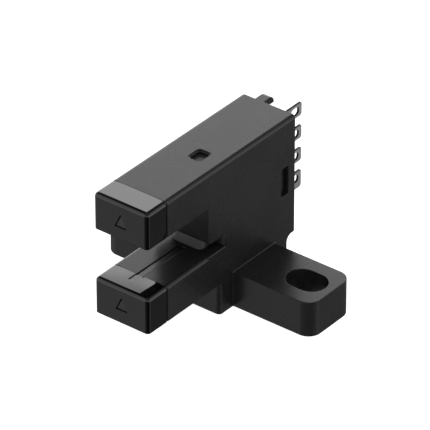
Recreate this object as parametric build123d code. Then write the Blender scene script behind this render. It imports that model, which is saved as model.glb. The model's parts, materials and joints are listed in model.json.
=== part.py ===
from build123d import *
import os

# Fork sensor with a horizontal sensing slot, in millimetres.
# X runs across the body to the ears, Y from the fork tips to the terminals, Z up.
# The origin lies on the mounting face, midway between the two mounting slots.

# Body, seen from the side
body_width = 6.4
body_length = 22.26
body_top = 16.7
arm_height = 3.95
slot_gap = 5.35
slot_depth = 9.0
tip_to_mounts = 15.96
body_edge_radius = 0.4
slot_edge_radius = 0.4
arm_bottom_radius = 0.08

# Undercut at the foot of the slot's end wall
undercut_height = 1.34
undercut_depth = 2.6
neck_width = 3.75
neck_setback = 0.5
neck_radius = 0.6
undercut_edge_radius = 0.12

# Foot under the body
foot_front_setback = 10.7
foot_rear_setback = 1.17
foot_front_radius = 0.42
rear_ledge_rise = 0.2
rear_ledge_radius = 0.75

# Mounting ears
ear_span = 25.0
ear_depth = 6.4
ear_thickness = 3.85
ear_corner_radius = 1.4
ear_edge_radius = 0.05
ear_root_radius = 0.12
mount_slot_from_end = 3.0
mount_slot_width = 3.2
mount_slot_length = 4.3

# Moulded walls and the room inside
wall = 0.75
rail_width = 0.65
rail_depth = 0.65

# Glossy tip caps
cap_length = 2.8
cap_wall = 0.65
joint_groove = 0.1
light_slit_width = 0.8
light_slit_recess = 0.08
light_slit_start = 1.7
tongue_width = 2.6
tongue_thickness = 0.38
tongue_root = 0.5
cheek_thickness = 0.4
cheek_length = 2.4
cheek_root = 1.0
cheek_inset = 0.15

# Indicator window in the top
window_x = 0.54
window_from_tip = 11.05
window_width = 1.54
window_length = 1.85
window_radius = 0.35
window_recess = 0.1
window_ledge = 0.15
pane_radius = 0.2
pane_depth = 0.45
pane_flange = 0.3
pane_flange_thickness = 0.3

# Keying hook at the top of the back
hook_x = -1.1
hook_width = 1.04
hook_reach = 1.62
hook_thickness = 0.8
hook_radius = 0.7
hook_root = 0.6

# Terminal base and its latches
base_thickness = 2.5
base_inset = 0.25
latch_width = 1.05
latch_height = 3.1
latch_from_back = 1.55
latch_drop = 0.1
latch_inset = 0.5
latch_corner_radius = 0.1

# Terminals
terminal_count = 4
terminal_pitch = 2.54
terminal_drop = 0.06
terminal_thickness = 0.25
terminal_height = 1.4
last_terminal_skirt = 0.45
terminal_reach = 5.05
terminal_tail_height = 0.9
terminal_tail_share = 0.39
lug_upper_radius = 0.1
lug_lower_radius = 0.3
terminal_jog = 0.6
eye_length = 1.25
eye_height = 0.9
eye_radius = 0.4
eye_to_tip = 0.42

# Circuit board
board_thickness = 0.8
board_to_base = 1.0
board_margin = 0.3
board_front_gap = 0.15
board_top_gap = 0.15

# Emitter and receiver
optic_length = 2.35
optic_side_gap = 0.12
optic_front_gap = 0.1
optic_tongue_gap = 0.09
optic_back_gap = 0.2
lens_gap = 0.05
lens_from_front = 0.75
lead_width = 0.3
lead_height = 0.4
lead_rise = 0.3
lead_embed = 0.8
lead_landing = 1.2

# Parts on the board
resistor_length = 1.6
resistor_height = 0.8
resistor_thickness = 0.45
capacitor_thickness = 0.8
led_length = 1.0
led_height = 0.5
led_thickness = 0.5
diode_length = 1.7
diode_height = 1.25
diode_thickness = 0.9
amplifier_length = 1.6
amplifier_height = 2.4
transistor_length = 1.3
transistor_height = 2.9
package_thickness = 1.0
package_standoff = 0.1
foot_length = 0.45
foot_width = 0.3
foot_rise = 0.45
amplifier_foot_pitch = 0.65
transistor_foot_pitch = 1.9

# Clearances, how far joined blocks overlap and cutting blocks run past a face, and how close
# an edge lies to a place to count as being there
slide_fit = 0.03
press_gap = 0.02
join_overlap = 0.1
cut_past = 1.0
cut_far = 50.0
same_place = 0.001

# Places worked out from the sizes
half_width = body_width / 2
front_y = -tip_to_mounts
back_y = front_y + body_length
slot_end_y = front_y + slot_depth
undercut_y = slot_end_y + undercut_depth
cap_joint_y = front_y + cap_length
foot_front_y = front_y + foot_front_setback
foot_rear_y = back_y - foot_rear_setback
upper_face_z = body_top - arm_height
lower_face_z = upper_face_z - slot_gap
body_bottom_z = lower_face_z - arm_height
body_middle_z = (body_top + body_bottom_z) / 2
terminal_middle_z = body_middle_z - terminal_drop
rear_ledge_z = body_bottom_z + rear_ledge_rise
chamber_floor_z = rear_ledge_z + wall
mount_pitch = ear_span - 2 * mount_slot_from_end
room_half = half_width - wall
room_front_y = slot_end_y + wall
deep_front_y = undercut_y + wall
rail_rear_y = deep_front_y + rail_depth
room_top_z = body_top - wall
room_step_z = lower_face_z + undercut_height + wall
base_rear_y = back_y - base_inset
base_front_y = base_rear_y - base_thickness
board_half = board_thickness / 2
board_low_front_y = deep_front_y + board_front_gap
board_rear_y = base_front_y - board_to_base
board_top_z = room_top_z - pane_flange_thickness - board_top_gap
tail_front_y = board_rear_y - terminal_tail_share * (board_rear_y - board_low_front_y)
cheek_outer = room_half - slide_fit
cheek_inner = cheek_outer - cheek_thickness
tongue_inner_depth = wall + slide_fit + tongue_thickness
optic_half = cheek_inner - optic_side_gap
optic_start_y = front_y + cap_wall + optic_front_gap
optic_depth = tongue_inner_depth + optic_tongue_gap
optic_height = arm_height - cap_wall - optic_back_gap - optic_depth
lens_radius = optic_depth - cap_wall - lens_gap
window_y = front_y + window_from_tip
latch_y = back_y - latch_from_back
latch_z = body_middle_z - latch_drop


def block(x_span, y_span, z_span):
    """A box between two limits on each axis."""
    size_x = x_span[1] - x_span[0]
    size_y = y_span[1] - y_span[0]
    size_z = z_span[1] - z_span[0]
    solid = Box(size_x, size_y, size_z, align=(Align.MIN, Align.MIN, Align.MIN))
    return Pos(x_span[0], y_span[0], z_span[0]) * solid


def side_solid(points, half):
    """A closed outline in the side view, extruded the same way to both sides."""
    outline = make_face(Polyline(*points, close=True))
    return extrude(Plane.YZ * outline, amount=half, both=True)


def rounded_post(centre, length_x, length_y, radius, z_span):
    """An upright rounded rectangle between two heights."""
    plan = RectangleRounded(length_x, length_y, radius)
    solid = extrude(plan, amount=z_span[1] - z_span[0])
    return Pos(centre[0], centre[1], z_span[0]) * solid


def in_arm(side, x_span, y_span, depth_span):
    """A box in one arm, its depth counted from that arm's slot face into the arm."""
    face = upper_face_z if side > 0 else lower_face_z
    heights = sorted(face + side * depth for depth in depth_span)
    return block(x_span, y_span, heights)


def edges_near(shape, axis, y=None, z=None, x=None):
    """Edges along an axis whose middle lies on the given coordinates."""
    wanted = {"X": x, "Y": y, "Z": z}
    found = []
    for edge in shape.edges().filter_by(axis):
        middle = edge @ 0.5
        ends = {"X": abs(middle.X), "Y": middle.Y, "Z": middle.Z}
        if all(v is None or abs(ends[k] - v) < same_place for k, v in wanted.items()):
            found.append(edge)
    return found


def edges_at_height(shape, z, y_limit):
    """Edges that lie at one height and start forward of a limit."""
    found = []
    for edge in shape.edges():
        box = edge.bounding_box()
        if max(abs(box.min.Z - z), abs(box.max.Z - z)) < same_place and box.min.Y < y_limit:
            found.append(edge)
    return found


def make_envelope():
    """The outer form of body, arms and foot in one solid, with the sensing slot cut."""
    outline = Polyline(
        (front_y, body_bottom_z),
        (foot_front_y, body_bottom_z),
        (foot_front_y, 0),
        (foot_rear_y, 0),
        (foot_rear_y, rear_ledge_z),
        (back_y, rear_ledge_z),
        (back_y, body_top),
        (front_y, body_top),
        close=True,
    )
    face = make_face(outline)
    inner_corner = face.vertices().sort_by_distance((foot_rear_y, rear_ledge_z, 0))[0]
    face = fillet(inner_corner, rear_ledge_radius)
    solid = extrude(Plane.YZ * face, amount=half_width, both=True)
    soft_edges = edges_near(solid, Axis.Y, x=half_width, z=body_top)
    soft_edges += edges_near(solid, Axis.X, y=front_y, z=body_top)
    soft_edges += edges_near(solid, Axis.Z, x=half_width, y=front_y)
    solid = fillet(soft_edges, body_edge_radius)
    foot_edges = edges_near(solid, Axis.Z, x=half_width, y=foot_front_y)
    solid = fillet(foot_edges, foot_front_radius)
    slot_y = (front_y - cut_past, slot_end_y)
    slot_x = (-half_width - cut_past, half_width + cut_past)
    solid -= block(slot_x, slot_y, (lower_face_z, upper_face_z))
    everywhere = (-cut_far, cut_far)
    rest = solid & block(everywhere, (foot_front_y, cut_far), everywhere)
    arms = solid & block(everywhere, (-cut_far, foot_front_y), everywhere)
    tip_limit = front_y + cut_past
    arms = fillet(edges_at_height(arms, body_bottom_z, tip_limit), arm_bottom_radius)
    solid = arms + rest
    solid = fillet(edges_at_height(solid, lower_face_z, tip_limit), slot_edge_radius)
    return fillet(edges_at_height(solid, upper_face_z, tip_limit), arm_bottom_radius)


def make_undercut():
    """The low channel behind the slot's end wall, which runs round a middle neck."""
    x_span = (-half_width - cut_past, half_width + cut_past)
    z_span = (lower_face_z, lower_face_z + undercut_height)
    channel = block(x_span, (slot_end_y - join_overlap, undercut_y), z_span)
    neck_front = slot_end_y + neck_setback
    neck_length = undercut_depth + neck_radius
    centre = (0, neck_front + neck_length / 2)
    neck = rounded_post(centre, neck_width, neck_length, neck_radius, z_span)
    return channel - neck


def make_ears():
    """One flat bar across the foot, with a mounting slot in each end."""
    bar = rounded_post((0, 0), ear_span, ear_depth, ear_corner_radius, (0, ear_thickness))
    for side in (-1, 1):
        plan = SlotOverall(mount_slot_length, mount_slot_width)
        slot = extrude(plan, amount=ear_thickness + 2 * cut_past)
        bar -= Pos(side * mount_pitch / 2, 0, -cut_past) * slot
    return fillet(bar.edges().group_by(Axis.Z)[-1], ear_edge_radius)


def ear_roots(shape):
    """The inner edges where the ears meet the sides of the body."""
    found = []
    for edge in shape.edges():
        box = edge.bounding_box()
        off_side = max(abs(abs(box.min.X) - half_width), abs(abs(box.max.X) - half_width))
        in_depth = max(-box.min.Y, box.max.Y) < ear_depth / 2 + same_place
        in_height = same_place < box.max.Z < ear_thickness + same_place
        if off_side < same_place and in_depth and in_height:
            found.append(edge)
    return found


def make_room():
    """The hollow inside the housing, open at both tips and at the back."""
    outline = [
        (cap_joint_y - cut_past, upper_face_z + wall),
        (room_front_y, upper_face_z + wall),
        (room_front_y, room_step_z),
        (deep_front_y, room_step_z),
        (deep_front_y, lower_face_z - wall),
        (cap_joint_y - cut_past, lower_face_z - wall),
        (cap_joint_y - cut_past, body_bottom_z + wall),
        (deep_front_y, body_bottom_z + wall),
        (deep_front_y, chamber_floor_z),
        (back_y + cut_past, chamber_floor_z),
        (back_y + cut_past, room_top_z),
        (cap_joint_y - cut_past, room_top_z),
    ]
    return side_solid(outline, room_half)


def make_hook():
    """The keying hook that continues the top past the back."""
    outline = Polyline(
        (back_y - hook_root, body_top),
        (back_y + hook_reach, body_top),
        (back_y + hook_reach, body_top - hook_thickness),
        (back_y, body_top - hook_thickness),
        (back_y, body_top - wall),
        (back_y - hook_root, body_top - wall),
        close=True,
    )
    face = make_face(outline)
    outer = face.vertices().sort_by_distance((back_y + hook_reach, body_top, 0))[0]
    face = fillet(outer, hook_radius)
    return Pos(hook_x, 0, 0) * extrude(Plane.YZ * face, amount=hook_width / 2, both=True)


def latch_opening(grow, x_span):
    """The outline of a latch window, as a bar across the body."""
    plan = RectangleRounded(
        latch_width + 2 * grow,
        latch_height + 2 * grow,
        latch_corner_radius + grow,
    )
    bar = extrude(Plane.YZ * plan, amount=x_span[1] - x_span[0])
    return Pos(x_span[0], latch_y, latch_z) * bar


def make_housing(envelope):
    """Black moulded housing: arms, body, foot and ears in one piece."""
    solid = envelope + make_ears()
    solid = fillet(ear_roots(solid), ear_root_radius)
    solid += make_hook()
    everywhere = (-cut_far, cut_far)
    solid -= block(everywhere, (front_y - cut_far, cap_joint_y), everywhere)
    solid -= make_undercut()
    undercut_edges = edges_near(solid, Axis.Y, x=half_width, z=lower_face_z)
    solid = fillet(undercut_edges, undercut_edge_radius)
    ceiling_z = lower_face_z + undercut_height
    solid = fillet(edges_near(solid, Axis.X, y=slot_end_y, z=ceiling_z), slot_edge_radius)
    solid -= make_room()
    for side in (-1, 1):
        slit = light_slit_width / 2
        solid -= in_arm(side, (-slit, slit), (cap_joint_y, slot_end_y), (0, wall))
    for side in (-1, 1):
        outer = sorted((side * (half_width - joint_groove), side * (half_width + cut_past)))
        groove_y = (cap_joint_y, cap_joint_y + joint_groove)
        solid -= block(outer, groove_y, (0, body_top + cut_past))
    solid -= latch_opening(0, (-half_width - cut_past, half_width + cut_past))
    window = (window_x, window_y)
    solid -= rounded_post(
        window,
        window_width,
        window_length,
        window_radius,
        (body_top - window_recess, body_top + cut_past),
    )
    solid -= rounded_post(
        window,
        window_width - 2 * window_ledge,
        window_length - 2 * window_ledge,
        pane_radius,
        (room_top_z - cut_past, body_top),
    )
    for side in (-1, 1):
        inner = side * (board_half + slide_fit)
        outer = side * (board_half + rail_width)
        rail_x = sorted((inner, outer))
        rail_z = (lower_face_z - wall, room_step_z)
        solid += block(rail_x, (deep_front_y, rail_rear_y), rail_z)
    return solid


def make_cap(envelope, side):
    """Glossy cap of one fork tip, with its cheeks and the tongue behind the light slit."""
    above = (upper_face_z - cut_past, cut_far)
    below = (-cut_far, lower_face_z + cut_past)
    z_span = above if side > 0 else below
    solid = envelope & block((-cut_far, cut_far), (front_y - cut_past, cap_joint_y), z_span)
    hollow_half = half_width - cap_wall
    hollow_y = (front_y + cap_wall, cap_joint_y + cut_past)
    hollow_depth = (cap_wall, arm_height - cap_wall)
    solid -= in_arm(side, (-hollow_half, hollow_half), hollow_y, hollow_depth)
    slit = light_slit_width / 2
    slit_y = (front_y + light_slit_start, cap_joint_y + cut_past)
    solid -= in_arm(side, (-slit, slit), slit_y, (0, light_slit_recess))
    tongue_end = slot_end_y - slide_fit
    tongue_half = tongue_width / 2
    root_y = (cap_joint_y - tongue_root, cap_joint_y)
    root_depth = (cap_wall - join_overlap, tongue_inner_depth)
    solid += in_arm(side, (-tongue_half, tongue_half), root_y, root_depth)
    plate_y = (cap_joint_y - join_overlap, tongue_end)
    plate_depth = (wall + slide_fit, tongue_inner_depth)
    solid += in_arm(side, (-tongue_half, tongue_half), plate_y, plate_depth)
    rib_half = slit - press_gap
    rib_depth = (light_slit_recess, wall + 2 * slide_fit)
    solid += in_arm(side, (-rib_half, rib_half), plate_y, rib_depth)
    cheek_depth = (wall + cheek_inset, arm_height - wall - cheek_inset)
    for way in (-1, 1):
        cheek_x = sorted((way * cheek_inner, way * cheek_outer))
        cheek_y = (cap_joint_y - cheek_root, cap_joint_y + cheek_length)
        solid += in_arm(side, cheek_x, cheek_y, cheek_depth)
        root_x = sorted((way * cheek_inner, way * (hollow_half + join_overlap)))
        solid += in_arm(side, root_x, (cap_joint_y - cheek_root, cap_joint_y), cheek_depth)
    return solid


def make_pane():
    """Indicator pane, held under the top by a flange."""
    pane_top = body_top - pane_depth
    stem = rounded_post(
        (window_x, window_y),
        window_width - 2 * window_ledge - 2 * press_gap,
        window_length - 2 * window_ledge - 2 * press_gap,
        pane_radius - press_gap,
        (room_top_z - pane_flange_thickness, pane_top),
    )
    flange = rounded_post(
        (window_x, window_y),
        window_width + 2 * pane_flange,
        window_length + 2 * pane_flange,
        window_radius,
        (room_top_z - pane_flange_thickness, room_top_z),
    )
    return stem + flange


def terminal_heights():
    """Middle height of each terminal, from the top down."""
    first = (terminal_count - 1) / 2
    return [terminal_middle_z + (first - row) * terminal_pitch for row in range(terminal_count)]


def make_terminal(height, skirt):
    """A flat lug with an eye, and a tail that steps over onto the board's face."""
    half = terminal_thickness / 2
    lug_length = back_y + terminal_reach - base_rear_y
    lug = Pos(lug_length / 2, -skirt / 2) * Rectangle(lug_length, terminal_height + skirt)
    lower_tip, upper_tip = lug.vertices().group_by(Axis.X)[-1].sort_by(Axis.Y)
    lug = fillet(upper_tip, lug_upper_radius)
    lower_tip = lug.vertices().sort_by_distance((lug_length, lower_tip.Y, 0))[0]
    lug = fillet(lower_tip, lug_lower_radius)
    eye_middle = lug_length - eye_to_tip - eye_length / 2
    lug -= Pos(eye_middle, 0) * RectangleRounded(eye_length, eye_height, eye_radius)
    solid = Pos(0, base_rear_y, height) * extrude(Plane.YZ * lug, amount=half, both=True)
    face_x = board_half
    jog_end = base_front_y - (board_to_base - terminal_jog) / 2
    jog_start = jog_end - terminal_jog
    outline = Polyline(
        (face_x, tail_front_y),
        (face_x, jog_start),
        (-half, jog_end),
        (-half, base_rear_y + join_overlap),
        (half, base_rear_y + join_overlap),
        (half, jog_end),
        (face_x + terminal_thickness, jog_start),
        (face_x + terminal_thickness, tail_front_y),
        close=True,
    )
    tail = extrude(make_face(outline), amount=terminal_tail_height / 2, both=True)
    return solid + Pos(0, 0, height) * tail


def make_terminal_base():
    """Plug that closes the back, carries the terminals and snaps into the side windows."""
    half = room_half - slide_fit
    heights = (chamber_floor_z + slide_fit, room_top_z - slide_fit)
    solid = block((-half, half), (base_front_y, base_rear_y), heights)
    tooth_reach = half_width - latch_inset
    solid += latch_opening(-slide_fit, (-tooth_reach, tooth_reach))
    slit_half = terminal_thickness / 2 + press_gap / 2
    tail_half = terminal_tail_height / 2 + press_gap / 2
    for height in terminal_heights():
        passage_z = (height - tail_half, height + tail_half)
        passage_y = (base_front_y - cut_past, base_rear_y + cut_past)
        solid -= block((-slit_half, slit_half), passage_y, passage_z)
    return solid


def make_board():
    """Upright circuit board, cut away below the undercut's ceiling."""
    outline = [
        (room_front_y + board_margin, room_step_z + board_margin),
        (board_low_front_y, room_step_z + board_margin),
        (board_low_front_y, chamber_floor_z + board_margin),
        (board_rear_y, chamber_floor_z + board_margin),
        (board_rear_y, board_top_z),
        (room_front_y + board_margin, board_top_z),
    ]
    return side_solid(outline, board_half)


def make_lead(side, way):
    """One straight lead from an optical package back along the board's face."""
    start = optic_start_y + optic_length - lead_embed
    board_front = room_front_y if side > 0 else deep_front_y
    end = board_front + board_margin + lead_landing
    lead_x = sorted((way * board_half, way * (board_half + lead_width)))
    low = optic_depth + lead_rise - lead_height / 2
    return in_arm(side, lead_x, (start, end), (low, low + lead_height))


def make_optic(side):
    """Moulded package of the emitter or receiver, its lens turned to the slot."""
    y_span = (optic_start_y, optic_start_y + optic_length)
    depth_span = (optic_depth, optic_depth + optic_height)
    solid = in_arm(side, (-optic_half, optic_half), y_span, depth_span)
    face = upper_face_z if side > 0 else lower_face_z
    lens_z = face + side * optic_depth
    solid += Pos(0, optic_start_y + lens_from_front, lens_z) * Sphere(lens_radius)
    for way in (-1, 1):
        solid -= make_lead(side, way)
    return solid


def chip(way, place, length, height, thickness, standoff=0):
    """A plain surface-mounted body on one face of the board."""
    y, z = place
    x_span = sorted((way * (board_half + standoff), way * (board_half + thickness)))
    return block(x_span, (y - length / 2, y + length / 2), (z - height / 2, z + height / 2))


def leaded_chip(way, place, length, height, feet):
    """A moulded body whose feet stand on the board, fore and aft of it."""
    y, z = place
    solid = chip(way, place, length, height, package_thickness, package_standoff)
    foot_x = sorted((way * board_half, way * (board_half + foot_rise)))
    for foot_side, foot_z in feet:
        near = y + foot_side * (length / 2 - join_overlap)
        far = y + foot_side * (length / 2 + foot_length)
        low = z + foot_z - foot_width / 2
        solid += block(foot_x, sorted((near, far)), (low, low + foot_width))
    return solid


def board_row(share):
    """A height between the lower slot face and the board's top edge."""
    return lower_face_z + share * (board_top_z - lower_face_z)


def make_electronics():
    """The parts on the board, by node name."""
    near_y = (rail_rear_y + tail_front_y) / 2
    far_y = (board_low_front_y + board_rear_y) / 2
    pitch = amplifier_foot_pitch
    amplifier_feet = [(end, row * pitch) for end in (-1, 1) for row in (-1, 0, 1)]
    outer_foot = transistor_foot_pitch / 2
    transistor_feet = [(-1, outer_foot), (-1, -outer_foot), (1, 0)]
    resistor = (resistor_length, resistor_height, resistor_thickness)
    capacitor = (resistor_length, resistor_height, capacitor_thickness)
    diode = (diode_length, diode_height, diode_thickness)
    led = (led_length, led_height, led_thickness)
    amplifier = (amplifier_length, amplifier_height, amplifier_feet)
    transistor = (transistor_length, transistor_height, transistor_feet)
    return {
        "indicator_led": chip(1, (window_y, board_top_z - led_height / 2), *led),
        "reverse_diode": chip(1, (near_y, board_row(0.12)), *diode),
        "emitter_resistor": chip(1, (near_y, board_row(0.4)), *resistor),
        "led_resistor": chip(1, (near_y, board_row(0.65)), *resistor),
        "supply_capacitor": chip(1, (near_y, board_row(0.9)), *capacitor),
        "output_transistor": leaded_chip(-1, (far_y, board_row(0.2)), *transistor),
        "amplifier_chip": leaded_chip(-1, (far_y, board_row(0.6)), *amplifier),
        "pull_up_resistor": chip(-1, (far_y, board_row(0.9)), *resistor),
    }


def make_parts():
    """Every piece, by node name."""
    envelope = make_envelope()
    parts = {
        "housing": make_housing(envelope),
        "upper_tip_cap": make_cap(envelope, 1),
        "lower_tip_cap": make_cap(envelope, -1),
        "indicator_pane": make_pane(),
        "terminal_base": make_terminal_base(),
        "circuit_board": make_board(),
        "emitter": make_optic(1),
        "emitter_anode_lead": make_lead(1, 1),
        "emitter_cathode_lead": make_lead(1, -1),
        "receiver": make_optic(-1),
        "receiver_collector_lead": make_lead(-1, 1),
        "receiver_emitter_lead": make_lead(-1, -1),
    }
    for number, height in enumerate(terminal_heights(), start=1):
        skirt = last_terminal_skirt if number == terminal_count else 0
        parts[f"terminal_{number}"] = make_terminal(height, skirt)
    parts.update(make_electronics())
    return parts


os.makedirs("parts", exist_ok=True)
for name, solid in make_parts().items():
    export_step(solid, f"parts/{name}.step")
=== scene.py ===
import json
import math

import bmesh
import bpy
from mathutils import Matrix, Vector


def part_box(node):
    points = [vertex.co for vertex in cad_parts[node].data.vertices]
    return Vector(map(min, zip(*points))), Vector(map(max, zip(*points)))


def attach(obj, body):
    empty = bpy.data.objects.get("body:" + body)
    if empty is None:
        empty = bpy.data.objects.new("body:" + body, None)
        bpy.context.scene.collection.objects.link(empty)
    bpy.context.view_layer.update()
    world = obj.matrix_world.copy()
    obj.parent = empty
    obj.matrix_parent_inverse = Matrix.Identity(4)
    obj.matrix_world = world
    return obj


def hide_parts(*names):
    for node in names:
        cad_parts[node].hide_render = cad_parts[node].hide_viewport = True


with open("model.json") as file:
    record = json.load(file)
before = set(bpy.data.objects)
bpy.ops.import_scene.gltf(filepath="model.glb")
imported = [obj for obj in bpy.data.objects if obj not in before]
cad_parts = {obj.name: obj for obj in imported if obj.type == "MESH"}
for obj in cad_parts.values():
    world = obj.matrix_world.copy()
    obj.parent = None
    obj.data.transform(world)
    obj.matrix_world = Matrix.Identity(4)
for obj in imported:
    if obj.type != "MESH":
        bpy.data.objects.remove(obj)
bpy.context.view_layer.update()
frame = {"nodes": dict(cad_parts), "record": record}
nodes = frame["nodes"]

MM = 0.001
MICRON = 1e-6

# Camera: where it looks, from which direction, how far off and how long its lens is
CAMERA_TARGET = Vector((-3.151, 2.106, 5.051)) * MM
CAMERA_AZIMUTH = math.radians(38.16)
CAMERA_ELEVATION = math.radians(32.81)
CAMERA_DISTANCE = 464.4 * MM
CAMERA_LENS = 406.6
CAMERA_CLIP = (0.01, 10.0)
SENSOR_WIDTH = 36.0

# Soft boxes, as they show in gloss: azimuth and half width in degrees, lowest and highest
# height on a ball round the object, and brightness
SOFT_BOXES = {
    "key": (140, 34, 0.05, 0.559, 4.2),
    "front": (222, 17, -0.43, 0.74, 1.45),
    "front_low": (215, 24, -0.68, -0.43, 0.66),
    "corner_low": (262, 24, -0.68, -0.43, 0.16),
    "narrow_low": (23, 15, -0.68, -0.43, 0.6),
    "side_low": (118, 75, -0.68, -0.43, 0.17),
}
# How wide the soft edges of the boxes are, in height and in degrees
BOX_EDGE = 0.028
BOX_SIDE = 3.0
# Band of light round the horizon: height and brightness
HORIZON = (
    (-0.45, 0.03), (-0.42, 1.78), (-0.05, 1.78), (0.2, 1.5), (0.42, 1.3), (0.53, 1.0),
    (0.62, 0.55), (0.72, 0.3), (0.8, 0.12), (0.91, 0.05), (0.965, 0.75), (1.0, 0.9),
)
HORIZON_MOST = 2.0
# The gap low in that band, towards the camera: azimuth, half width, its top and the light left
HORIZON_GAP = (298, 50, -0.05, 0.1)
GAP_EDGE = 0.2
# Light on matt surfaces: from which height to which it grows, and from how bright to how bright
DOME = (-0.1, 0.3, 0.6, 1.5)

# The floor: how far it lies under the object, its grey and its own glow
FLOOR_DROP = 0.02 * MM
FLOOR_GREY = (0.5, 0.5, 0.5, 1.0)
FLOOR_GLOW = 0.9

# Triangles engraved in the tips: the height of their base over the mounting face, their form,
# and how much deeper their matt ground gets for each unit of height
TRIANGLE_BASES = {"upper_tip_cap": 14.0 * MM, "lower_tip_cap": 4.84 * MM}
TRIANGLE_WIDTH = 1.4 * MM
TRIANGLE_HEIGHT = 1.5 * MM
TRIANGLE_DEPTH = 0.17 * MM
GROUND_SLOPE = 0.065
MATT_GROUND = "matt_ground"

# The undercut behind the slot: its rear wall, its ceiling, where its side lip starts, how far the
# neck narrows towards the ceiling, and how far the rear wall leans back there
UNDERCUT_REAR = -4.36 * MM
UNDERCUT_CEILING = 8.74 * MM
UNDERCUT_LIP = 3.08 * MM
NECK_HALF_WIDTH = 1.875 * MM
NECK_TAPER = 0.77
REAR_LEAN = 0.45 * MM

# Where the caps meet the case, and over which length their polish turns satin
JOINT = -13.16 * MM
JOINT_BLEND = 0.04 * MM

# Joining of a CAD mesh, and what counts as one place, one flat face, a crease and a sharp edge
MERGE_DISTANCE = 0.0005 * MM
SAME_PLACE = 0.002 * MM
SAME_PLANE = math.radians(0.5)
CREASE = math.radians(30)
SHARP = math.radians(40)
# Roundings that the moulds leave
CASE_EDGE = 0.05 * MM
CAP_EDGE = 0.1 * MM

# Colours that lie over a material's own
DUST_COLOUR = (0.2, 0.2, 0.19, 1.0)
# Painted shade: the terminals' sheared edges and eye-hole walls are coloured near black over
# their dull bare metal
SHEARED_EDGE_SHADE = (0.01, 0.0095, 0.009, 1.0)
TIN_COLOUR = (0.6, 0.6, 0.58, 1.0)
DIE_COLOUR = (0.5, 0.06, 0.03, 1.0)


def make_camera():
    """Camera at the photograph's viewpoint, looking at the middle of its frame."""
    level = math.cos(CAMERA_ELEVATION)
    back = Vector((
        math.sin(CAMERA_AZIMUTH) * level,
        -math.cos(CAMERA_AZIMUTH) * level,
        math.sin(CAMERA_ELEVATION),
    ))
    camera = bpy.data.objects.new("camera", bpy.data.cameras.new("camera"))
    bpy.context.scene.collection.objects.link(camera)
    camera.data.lens = CAMERA_LENS
    camera.data.sensor_width = SENSOR_WIDTH
    camera.data.clip_start, camera.data.clip_end = CAMERA_CLIP
    camera.location = CAMERA_TARGET + back * CAMERA_DISTANCE
    camera.rotation_mode = "QUATERNION"
    camera.rotation_quaternion = (-back).to_track_quat("-Z", "Y")
    bpy.context.scene.camera = camera


def add(tree, kind, **settings):
    """A new node of a tree, with its settings."""
    node = tree.nodes.new(kind)
    for name, value in settings.items():
        setattr(node, name, value)
    return node


def feed(tree, socket, value):
    """Gives an input a link from another socket, or a plain value."""
    if isinstance(value, bpy.types.NodeSocket):
        tree.links.new(value, socket)
    else:
        socket.default_value = value


def maths(tree, operation, *values):
    """The result of one Math node."""
    node = add(tree, "ShaderNodeMath", operation=operation)
    for place, value in enumerate(values):
        feed(tree, node.inputs[place], value)
    return node.outputs[0]


def vector_maths(tree, operation, *values):
    """The result of one Vector Math node."""
    node = add(tree, "ShaderNodeVectorMath", operation=operation)
    for place, value in enumerate(values):
        feed(tree, node.inputs[place], value)
    return node.outputs["Value" if operation == "DOT_PRODUCT" else "Vector"]


def ease(tree, value, low, high, start=0.0, end=1.0):
    """Smooth step of a value between two limits."""
    node = add(tree, "ShaderNodeMapRange", interpolation_type="SMOOTHSTEP")
    for name, given in (("Value", value), ("From Min", low), ("From Max", high)):
        feed(tree, node.inputs[name], given)
    feed(tree, node.inputs["To Min"], start)
    feed(tree, node.inputs["To Max"], end)
    return node.outputs["Result"]


def split(tree, vector):
    """The three parts of a vector."""
    node = add(tree, "ShaderNodeSeparateXYZ")
    feed(tree, node.inputs[0], vector)
    return node.outputs


def mix_colour(tree, factor, first, second):
    """A mix of two colours."""
    node = add(tree, "ShaderNodeMix", data_type="RGBA")
    feed(tree, node.inputs["Factor"], factor)
    feed(tree, node.inputs[6], first)
    feed(tree, node.inputs[7], second)
    return node.outputs[2]


def mix_value(tree, factor, first, second):
    """A mix of two values."""
    node = add(tree, "ShaderNodeMix", data_type="FLOAT")
    feed(tree, node.inputs["Factor"], factor)
    feed(tree, node.inputs["A"], first)
    feed(tree, node.inputs["B"], second)
    return node.outputs["Result"]


def sector(tree, level, azimuth, half_width):
    """One between two azimuths, and nothing outside them."""
    turn = math.radians(azimuth)
    towards = (math.cos(turn), math.sin(turn), 0.0)
    across = vector_maths(tree, "DOT_PRODUCT", level, towards)
    outer = math.cos(math.radians(half_width + BOX_SIDE / 2))
    inner = math.cos(math.radians(half_width - BOX_SIDE / 2))
    return ease(tree, across, outer, inner)


def soft_box(tree, level, height, azimuth, half_width, lowest, highest, brightness):
    """One soft box of the studio, as a window in azimuth and height."""
    edge = BOX_EDGE / 2
    beside = sector(tree, level, azimuth, half_width)
    above = ease(tree, height, lowest - edge, lowest + edge)
    below = ease(tree, height, highest - edge, highest + edge, start=1.0, end=0.0)
    window = maths(tree, "MULTIPLY", above, below)
    window = maths(tree, "MULTIPLY", window, beside)
    return maths(tree, "MULTIPLY", window, brightness)


def horizon_band(tree, height):
    """The brightness of the sky in gloss, by height alone."""
    ramp = add(tree, "ShaderNodeValToRGB")
    feed(tree, ramp.inputs["Fac"], maths(tree, "MULTIPLY_ADD", height, 0.5, 0.5))
    stops = ramp.color_ramp.elements
    while len(stops) < len(HORIZON):
        stops.new(1.0)
    for stop, (place, value) in zip(stops, HORIZON):
        stop.position = (place + 1) / 2
        share = value / HORIZON_MOST
        stop.color = (share, share, share, 1.0)
    return maths(tree, "MULTIPLY", ramp.outputs["Color"], HORIZON_MOST)


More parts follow.
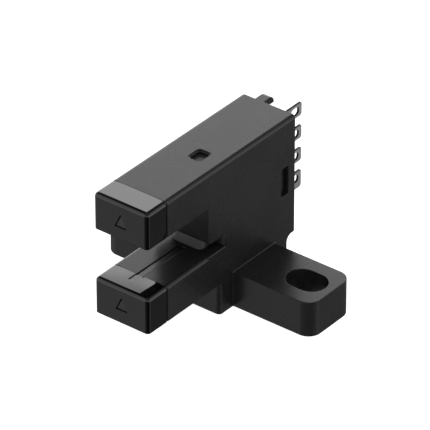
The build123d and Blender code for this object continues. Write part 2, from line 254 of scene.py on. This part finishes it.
def horizon_gap(tree, level, height):
    """What is left of the horizon's light: less of it low down, towards the camera."""
    azimuth, half_width, top, left = HORIZON_GAP
    edge = GAP_EDGE / 2
    low = ease(tree, height, top - edge, top + edge, start=1.0, end=0.0)
    gap = maths(tree, "MULTIPLY", sector(tree, level, azimuth, half_width), low)
    return maths(tree, "MULTIPLY_ADD", gap, left - 1, 1.0)


def make_studio():
    """Soft studio light: soft boxes that show as reflections, a dome, and a white backdrop."""
    world = bpy.data.worlds.new("studio")
    bpy.context.scene.world = world
    world.use_nodes = True
    tree = world.node_tree
    tree.nodes.clear()
    direction = add(tree, "ShaderNodeTexCoord").outputs["Generated"]
    height = split(tree, direction)["Z"]
    level = vector_maths(tree, "MULTIPLY", direction, (1.0, 1.0, 0.0))
    level = vector_maths(tree, "NORMALIZE", level)
    gap = horizon_gap(tree, level, height)
    glossy = maths(tree, "MULTIPLY", horizon_band(tree, height), gap)
    for place in SOFT_BOXES.values():
        glossy = maths(tree, "MAXIMUM", glossy, soft_box(tree, level, height, *place))
    rays = add(tree, "ShaderNodeLightPath")
    dome = ease(tree, height, *DOME)
    strength = mix_value(tree, rays.outputs["Is Glossy Ray"], dome, glossy)
    strength = mix_value(tree, rays.outputs["Is Camera Ray"], strength, 1.0)
    light = add(tree, "ShaderNodeBackground")
    feed(tree, light.inputs["Strength"], strength)
    output = add(tree, "ShaderNodeOutputWorld")
    tree.links.new(light.outputs[0], output.inputs["Surface"])


def new_object(name, bm):
    """An object from a bmesh, linked to the scene."""
    mesh = bpy.data.meshes.new(name)
    bm.to_mesh(mesh)
    bm.free()
    made = bpy.data.objects.new(name, mesh)
    bpy.context.scene.collection.objects.link(made)
    return made


def make_floor():
    """Plain pale floor like a light table, which the dark plastic doesn't mirror."""
    bm = bmesh.new()
    bmesh.ops.create_grid(bm, x_segments=1, y_segments=1, size=1.0)
    bmesh.ops.translate(bm, verts=bm.verts, vec=(0, 0, -FLOOR_DROP))
    floor = new_object("floor", bm)
    material = bpy.data.materials.new("pale_floor")
    material.use_nodes = True
    shader = material.node_tree.nodes["Principled BSDF"]
    shader.inputs["Base Color"].default_value = FLOOR_GREY
    shader.inputs["Roughness"].default_value = 0.9
    shader.inputs["Specular IOR Level"].default_value = 0.0
    shader.inputs["Emission Color"].default_value = (1, 1, 1, 1)
    shader.inputs["Emission Strength"].default_value = FLOOR_GLOW
    floor.data.materials.append(material)
    floor.visible_glossy = False


def new_group(name, inputs, outputs):
    """A shader node group with named sockets, its input node and its output node."""
    tree = bpy.data.node_groups.new(name, "ShaderNodeTree")
    kinds = {"vector": "NodeSocketVector", "value": "NodeSocketFloat"}
    for way, sockets in (("INPUT", inputs), ("OUTPUT", outputs)):
        for socket, kind in sockets.items():
            tree.interface.new_socket(socket, in_out=way, socket_type=kinds[kind])
    given = tree.nodes.new("NodeGroupInput").outputs
    made = tree.nodes.new("NodeGroupOutput").inputs
    return tree, given, made


def noise(tree, position, scale, detail, roughness):
    """The value of a noise at a place, in marks per metre."""
    node = add(tree, "ShaderNodeTexNoise")
    values = {"Vector": position, "Scale": scale, "Detail": detail, "Roughness": roughness}
    for name, value in values.items():
        feed(tree, node.inputs[name], value)
    return node.outputs["Fac"]


def make_grain_group():
    """Spark-eroded grain of a mould: its height, and fine light and dark specks."""
    tree, given, made = new_group(
        "mould_grain",
        {"Position": "vector", "Scale": "value"},
        {"Height": "value", "Specks": "value"},
    )
    coarse = noise(tree, given["Position"], given["Scale"], detail=3.0, roughness=0.6)
    finer = maths(tree, "MULTIPLY", given["Scale"], 2.7)
    pits = add(tree, "ShaderNodeTexVoronoi", feature="SMOOTH_F1")
    feed(tree, pits.inputs["Vector"], given["Position"])
    feed(tree, pits.inputs["Scale"], finer)
    height = maths(tree, "MULTIPLY_ADD", pits.outputs["Distance"], 0.45, coarse)
    feed(tree, made["Height"], height)
    feed(tree, made["Specks"], ease(tree, coarse, 0.3, 0.7))
    return tree


def make_handling_group():
    """Faint marks of handling: patches where a surface is a little more or less shiny."""
    tree, given, made = new_group(
        "handling_marks",
        {"Position": "vector", "Scale": "value"},
        {"Patches": "value", "Scuffs": "value"},
    )
    patches = noise(tree, given["Position"], given["Scale"], detail=2.0, roughness=0.5)
    stretched = vector_maths(tree, "MULTIPLY", given["Position"], (3.0, 0.6, 3.0))
    finer = maths(tree, "MULTIPLY", given["Scale"], 6.0)
    scuffs = noise(tree, stretched, finer, detail=4.0, roughness=0.7)
    feed(tree, made["Patches"], ease(tree, patches, 0.35, 0.65))
    feed(tree, made["Scuffs"], ease(tree, scuffs, 0.62, 0.78))
    return tree


def make_dust_group():
    """A trace of dust, mostly on what faces up."""
    tree, given, made = new_group(
        "fine_dust",
        {"Position": "vector", "Normal": "vector"},
        {"Dust": "value"},
    )
    upward = split(tree, given["Normal"])["Z"]
    settled = ease(tree, upward, 0.5, 1.0, start=0.15, end=1.0)
    grains = noise(tree, given["Position"], 5200.0, detail=2.0, roughness=0.6)
    specks = ease(tree, grains, 0.62, 0.8)
    feed(tree, made["Dust"], maths(tree, "MULTIPLY", settled, specks))
    return tree


def make_rolled_group():
    """Rolled sheet metal: fine lines along its length, and which faces are its broad ones."""
    tree, given, made = new_group(
        "rolled_sheet",
        {"Position": "vector", "Normal": "vector"},
        {"Lines": "value", "Face": "value"},
    )
    stretched = vector_maths(tree, "MULTIPLY", given["Position"], (1.0, 0.08, 1.0))
    feed(tree, made["Lines"], noise(tree, stretched, 9000.0, detail=3.0, roughness=0.6))
    sideways = maths(tree, "ABSOLUTE", split(tree, given["Normal"])["X"])
    feed(tree, made["Face"], ease(tree, sideways, 0.55, 0.85))
    return tree


GRAIN = make_grain_group()
HANDLING = make_handling_group()
DUST = make_dust_group()
ROLLED = make_rolled_group()


def tint(colour, factor):
    """A colour made lighter or darker."""
    return (colour[0] * factor, colour[1] * factor, colour[2] * factor, 1.0)


class Finish:
    """A material being made: its tree, its shader, and the object's own place and normal."""

    def __init__(self, name, colour, roughness, metallic=0.0):
        self.material = bpy.data.materials.new(name)
        self.material.use_nodes = True
        self.tree = self.material.node_tree
        self.shader = self.tree.nodes["Principled BSDF"]
        self.colour = (*colour, 1.0)
        self.set("Base Color", self.colour)
        self.set("Roughness", roughness)
        self.set("Metallic", metallic)
        place = add(self.tree, "ShaderNodeTexCoord")
        self.position = place.outputs["Object"]
        self.normal = place.outputs["Normal"]

    def set(self, name, value):
        """Sets or links one of the shader's sockets."""
        feed(self.tree, self.shader.inputs[name], value)

    def vary(self, name, mask, low, high):
        """Lets a mask move one of the shader's values between two others."""
        self.set(name, mix_value(self.tree, mask, low, high))

    def tints(self, mask, darker, lighter):
        """The base colour between two tints of it, by a mask."""
        return mix_colour(
            self.tree, mask, tint(self.colour, darker), tint(self.colour, lighter)
        )

    def effect(self, group, **values):
        """Places a shared effect with this material's own values, and gives its outputs."""
        node = add(self.tree, "ShaderNodeGroup", node_tree=group)
        for name, value in values.items():
            feed(self.tree, node.inputs[name], value)
        return node.outputs

    def grain(self, scale):
        """The mould's grain on this material."""
        return self.effect(GRAIN, Position=self.position, Scale=scale)

    def marks(self, scale):
        """Marks of handling on this material."""
        return self.effect(HANDLING, Position=self.position, Scale=scale)

    def dusted(self, colour, share):
        """A colour under a trace of dust."""
        dust = self.effect(DUST, Position=self.position, Normal=self.normal)
        cover = maths(self.tree, "MULTIPLY", dust["Dust"], share)
        return mix_colour(self.tree, cover, colour, DUST_COLOUR)

    def rolled(self):
        """Rolled sheet metal on this material."""
        return self.effect(ROLLED, Position=self.position, Normal=self.normal)

    def bump(self, height, microns):
        """Gives the surface a height, in microns for a height of one."""
        node = add(self.tree, "ShaderNodeBump")
        feed(self.tree, node.inputs["Height"], height)
        feed(self.tree, node.inputs["Distance"], microns * MICRON)
        self.set("Normal", node.outputs["Normal"])


def case_plastic():
    """Fine matt black moulding."""
    finish = Finish("case_plastic_black", (0.0085, 0.0085, 0.0086), 0.27)
    finish.set("Specular IOR Level", 0.3)
    grain = finish.grain(4200.0)
    marks = finish.marks(210.0)
    colour = finish.tints(grain["Specks"], 0.8, 1.25)
    finish.set("Base Color", finish.dusted(colour, 0.05))
    rough = mix_value(finish.tree, marks["Patches"], 0.255, 0.285)
    finish.set("Roughness", maths(finish.tree, "MULTIPLY_ADD", marks["Scuffs"], -0.015, rough))
    finish.bump(grain["Height"], 4.4)
    return finish.material


def cap_plastic():
    """Polished black plastic, satin on the tongue behind the joint and in the engraving."""
    finish = Finish("cap_plastic_polished", (0.002, 0.002, 0.002), 0.03)
    tree = finish.tree
    marks = finish.marks(260.0)
    grain = finish.grain(1500.0)
    along = split(tree, finish.position)["Y"]
    inside = ease(tree, along, JOINT - JOINT_BLEND / 2, JOINT + JOINT_BLEND / 2)
    ground = add(tree, "ShaderNodeAttribute", attribute_name=MATT_GROUND).outputs["Fac"]
    polish = mix_value(tree, marks["Patches"], 0.025, 0.04)
    polish = maths(tree, "MULTIPLY_ADD", marks["Scuffs"], 0.02, polish)
    finish.vary("Roughness", ground, mix_value(tree, inside, polish, 0.3), 0.2)
    finish.set("Base Color", finish.tints(marks["Patches"], 0.9, 1.2))
    finish.bump(grain["Height"], 0.15)
    return finish.material


def pane_plastic():
    """Smoked pane over the indicator lamp."""
    finish = Finish("pane_plastic_smoked", (0.01, 0.0095, 0.0095), 0.46)
    grain = finish.grain(3000.0)
    finish.vary("Roughness", grain["Specks"], 0.42, 0.5)
    finish.set("Base Color", finish.tints(grain["Specks"], 0.9, 1.1))
    finish.bump(grain["Height"], 0.5)
    return finish.material


def base_plastic():
    """Matt black moulding of the terminal base."""
    finish = Finish("base_plastic_black", (0.005, 0.005, 0.005), 0.42)
    grain = finish.grain(3400.0)
    colour = finish.tints(grain["Specks"], 0.8, 1.2)
    finish.set("Base Color", finish.dusted(colour, 0.04))
    finish.vary("Roughness", grain["Specks"], 0.38, 0.46)
    finish.bump(grain["Height"], 1.2)
    return finish.material


def terminal_metal():
    """Tinned sheet whose sheared edges are dull, with a near-black painted shade as their colour.
    """
    finish = Finish("terminal_metal_tinned", (0.325, 0.325, 0.32), 0.4, metallic=1.0)
    finish.set("Specular IOR Level", 0.1)
    sheet = finish.rolled()
    marks = finish.marks(900.0)
    broad = finish.tints(marks["Patches"], 0.86, 1.05)
    # Painted shade: every face that isn't a broad face of the sheet, edges and eye-hole walls
    # alike, turns near black
    finish.set("Base Color", mix_colour(finish.tree, sheet["Face"], SHEARED_EDGE_SHADE, broad))
    rough = mix_value(finish.tree, sheet["Lines"], 0.34, 0.46)
    finish.vary("Roughness", sheet["Face"], 0.6, rough)
    finish.vary("Metallic", sheet["Face"], 0.0, 0.85)
    finish.bump(sheet["Lines"], 0.8)
    return finish.material


def lead_metal():
    """Tinned lead frame."""
    finish = Finish("lead_metal_tinned", (0.66, 0.66, 0.66), 0.3, metallic=1.0)
    sheet = finish.rolled()
    finish.set("Base Color", finish.tints(sheet["Lines"], 0.9, 1.05))
    finish.vary("Roughness", sheet["Lines"], 0.24, 0.36)
    finish.bump(sheet["Lines"], 0.6)
    return finish.material


def board_laminate():
    """Green solder resist over woven glass, with the copper tracks raised under it."""
    finish = Finish("board_laminate_green", (0.006, 0.07, 0.018), 0.35)
    tree = finish.tree
    threads = []
    for direction in ("Y", "Z"):
        wave = add(tree, "ShaderNodeTexWave", bands_direction=direction)
        feed(tree, wave.inputs["Vector"], finish.position)
        wave.inputs["Scale"].default_value = 900.0
        threads.append(wave.outputs["Fac"])
    cloth = maths(tree, "MULTIPLY", *threads)
    place = split(tree, finish.position)
    flat = add(tree, "ShaderNodeCombineXYZ")
    feed(tree, flat.inputs["X"], place["Y"])
    feed(tree, flat.inputs["Y"], place["Z"])
    tracks = add(tree, "ShaderNodeTexBrick", offset=0.5)
    feed(tree, tracks.inputs["Vector"], flat.outputs[0])
    tracks.inputs["Scale"].default_value = 500.0
    tracks.inputs["Mortar Size"].default_value = 0.05
    copper = tracks.outputs["Fac"]
    ground = finish.tints(cloth, 0.8, 1.1)
    finish.set("Base Color", mix_colour(tree, copper, ground, tint(finish.colour, 1.8)))
    finish.vary("Roughness", copper, 0.38, 0.3)
    finish.bump(maths(tree, "MULTIPLY_ADD", copper, 3.0, cloth), 6.0)
    return finish.material


def dark_resin(name, colour, roughness, scale, microns):
    """A moulding compound with its own grain."""
    finish = Finish(name, colour, roughness)
    grain = finish.grain(scale)
    marks = finish.marks(700.0)
    finish.set("Base Color", finish.tints(grain["Specks"], 0.85, 1.2))
    finish.vary("Roughness", marks["Patches"], roughness * 0.88, roughness * 1.12)
    finish.bump(grain["Height"], microns)
    return finish.material


def chip_with_ends(name, node, colour, roughness):
    """A chip body whose last fifth at each end is tinned."""
    low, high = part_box(node)
    middle = (low[1] + high[1]) / 2
    half = (high[1] - low[1]) / 2
    finish = Finish(name, colour, roughness)
    tree = finish.tree
    grain = finish.grain(6000.0)
    along = maths(tree, "SUBTRACT", split(tree, finish.position)["Y"], middle)
    ends = ease(tree, maths(tree, "ABSOLUTE", along), half * 0.58, half * 0.62)
    body = finish.tints(grain["Specks"], 0.85, 1.15)
    finish.set("Base Color", mix_colour(tree, ends, body, TIN_COLOUR))
    finish.set("Metallic", ends)
    finish.vary("Roughness", ends, roughness, 0.32)
    finish.bump(grain["Height"], 1.0)
    return finish.material


def led_resin():
    """Clear resin over a white carrier, with the small die across its middle."""
    finish = Finish("led_resin_clear", (0.6, 0.57, 0.5), 0.15)
    tree = finish.tree
    grain = finish.grain(5000.0)
    low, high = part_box("indicator_led")
    along = split(tree, finish.position)["Y"]
    reach = maths(tree, "ABSOLUTE", maths(tree, "SUBTRACT", along, (low[1] + high[1]) / 2))
    die = ease(tree, reach, 0.12 * MM, 0.18 * MM, start=1.0, end=0.0)
    finish.set("Base Color", mix_colour(tree, die, finish.colour, DIE_COLOUR))
    finish.vary("Roughness", grain["Specks"], 0.12, 0.2)
    finish.bump(grain["Height"], 0.6)
    return finish.material


def merged_mesh(node):
    """A bmesh of a CAD node with its loose triangles joined and its flat faces made whole."""
    bm = bmesh.new()
    bm.from_mesh(nodes[node].data)
    bmesh.ops.remove_doubles(bm, verts=bm.verts, dist=MERGE_DISTANCE)
    bmesh.ops.dissolve_limit(bm, angle_limit=SAME_PLANE, verts=bm.verts, edges=bm.edges)
    bmesh.ops.recalc_face_normals(bm, faces=bm.faces)
    for face in bm.faces:
        face.smooth = True
    return bm


def with_edges(faces):
    """Some faces and their edges, each once and always in the same order."""
    return faces + list(dict.fromkeys(edge for face in faces for edge in face.edges))


def near(value, other):
    """Whether two lengths are the same but for rounding."""
    return abs(value - other) < SAME_PLACE


def front_faces(bm, front):
    """The faces that lie in a plane across the tips."""
    return [face for face in bm.faces if all(near(vert.co.y, front) for vert in face.verts)]


def engrave_triangle(bm, front, base):
    """Presses an upright triangle into the front of a tip, with a matt ground."""
    matt = bm.faces.layers.float.new(MATT_GROUND)
    half = TRIANGLE_WIDTH / 2
    lines = (
        ((0, front, base), (0, 0, 1)),
        ((-half, front, base), (-TRIANGLE_HEIGHT, 0, half)),
        ((half, front, base), (TRIANGLE_HEIGHT, 0, half)),
    )
    for place, across in lines:
        faces = front_faces(bm, front)
        bmesh.ops.bisect_plane(bm, geom=with_edges(faces), plane_co=place, plane_no=across)
    middle = Vector((0, front, base + TRIANGLE_HEIGHT / 3))
    inside = min(
        front_faces(bm, front),
        key=lambda face: (face.calc_center_median() - middle).length,
    )
    ground = bmesh.ops.extrude_discrete_faces(bm, faces=[inside])["faces"][0]
    bmesh.ops.translate(bm, verts=ground.verts, vec=(0, TRIANGLE_DEPTH, 0))
    for vert in ground.verts:
        vert.co.y += GROUND_SLOPE * (vert.co.z - middle.z)
    ground[matt] = 1.0


def in_engraving(edge, base):
    """Whether an edge belongs to the engraved triangle."""
    return all(
        abs(vert.co.x) < TRIANGLE_WIDTH / 2 + SAME_PLACE
        and -SAME_PLACE < vert.co.z - base < TRIANGLE_HEIGHT + SAME_PLACE
        for vert in edge.verts
    )


def at_joint_top(edge, top):
    """Whether an edge lies along the top where a cap meets the case."""
    return all(near(vert.co.y, JOINT) and near(vert.co.z, top) for vert in edge.verts)


def mark_edges(bm, stays_crisp=lambda edge: False):
    """Marks the creases, and which of the edges that stand out get a rounding."""
    weight = bm.edges.layers.float.new("bevel_weight_edge")
    bm.normal_update()
    for edge in bm.edges:
        if len(edge.link_faces) != 2:
            continue
        edge.smooth = edge.calc_face_angle() < CREASE
        if edge.calc_face_angle_signed() > SHARP and not stays_crisp(edge):
            edge[weight] = 1.0


def soften_edges(piece, width):
    """Rounds the marked edges and keeps the flat faces flat in the light."""
    bevel = piece.modifiers.new("soft_edges", "BEVEL")
    bevel.width = width
    bevel.segments = 2
    bevel.limit_method = "WEIGHT"
    bevel.use_clamp_overlap = False
    bevel.harden_normals = False
    weights = piece.modifiers.new("flat_faces", "WEIGHTED_NORMAL")
    weights.keep_sharp = True
    weights.weight = 100


def make_tip_caps():
    """Both tip caps with their engraved triangles."""
    made = {}
    for node, base in TRIANGLE_BASES.items():
        low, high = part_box(node)
        top = high[2]
        bm = merged_mesh(node)
        engrave_triangle(bm, low[1], base)
        mark_edges(bm, lambda edge: in_engraving(edge, base) or at_joint_top(edge, top))
        piece = new_object(node + "_engraved", bm)
        soften_edges(piece, CAP_EDGE)
        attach(piece, "root")
        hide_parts(node)
        made[node] = piece
    return made


def on_undercut_rear(face):
    """Whether a face is one of the undercut's rear walls."""
    return all(
        near(vert.co.y, UNDERCUT_REAR) and vert.co.z < UNDERCUT_CEILING + SAME_PLACE
        for vert in face.verts
    )


def lean_undercut(bm):
    """Gives the undercut's neck and rear walls the draft that the mould needs there."""
    for side in (-1, 1):
        walls = [face for face in bm.faces if on_undercut_rear(face)]
        lip = (side * UNDERCUT_LIP, 0, 0)
        bmesh.ops.bisect_plane(bm, geom=with_edges(walls), plane_co=lip, plane_no=(1, 0, 0))
    top = [vert for vert in bm.verts if near(vert.co.z, UNDERCUT_CEILING)]
    neck = [vert for vert in top if abs(vert.co.x) < NECK_HALF_WIDTH + SAME_PLACE]
    rear = [
        vert for vert in top
        if near(vert.co.y, UNDERCUT_REAR) and abs(vert.co.x) < UNDERCUT_LIP + SAME_PLACE
    ]
    centre = Matrix.Translation((0, -UNDERCUT_REAR, 0))
    bmesh.ops.scale(bm, verts=neck, vec=(NECK_TAPER, NECK_TAPER, 1), space=centre)
    bmesh.ops.translate(bm, verts=rear, vec=(0, REAR_LEAN, 0))


def make_housing():
    """The housing with the small roundings that its mould leaves on sharp edges."""
    bm = merged_mesh("housing")
    lean_undercut(bm)
    mark_edges(bm)
    piece = new_object("housing_moulding", bm)
    soften_edges(piece, CASE_EDGE)
    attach(piece, "root")
    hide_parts("housing")
    return piece


def dress(pieces):
    """Gives each CAD node, or the piece that stands for it, the finish of its slot."""
    optic = ("optic_resin_dark", (0.005, 0.004, 0.008), 0.12, 2500.0, 0.2)
    chip = ("chip_resin_black", (0.012, 0.012, 0.012), 0.5, 5000.0, 1.5)
    resistor = ("resistor_body_glazed", "led_resistor", (0.006, 0.006, 0.008), 0.2)
    capacitor = ("capacitor_body_ceramic", "supply_capacitor", (0.17, 0.09, 0.04), 0.45)
    finishes = {
        "case_plastic": case_plastic(),
        "cap_plastic": cap_plastic(),
        "pane_plastic": pane_plastic(),
        "base_plastic": base_plastic(),
        "terminal_metal": terminal_metal(),
        "board_laminate": board_laminate(),
        "optic_resin": dark_resin(*optic),
        "lead_metal": lead_metal(),
        "led_resin": led_resin(),
        "chip_resin": dark_resin(*chip),
        "resistor_body": chip_with_ends(*resistor),
        "capacitor_body": chip_with_ends(*capacitor),
    }
    for part in frame["record"]["subparts"]:
        piece = pieces.get(part["node"], nodes[part["node"]])
        finish = finishes[part["material_slot"]]
        if not piece.material_slots:
            piece.data.materials.append(finish)
        for slot in piece.material_slots:
            slot.material = finish


make_camera()
make_studio()
make_floor()
pieces = make_tip_caps()
pieces["housing"] = make_housing()
dress(pieces)
bpy.context.scene.view_settings.view_transform = "Standard"
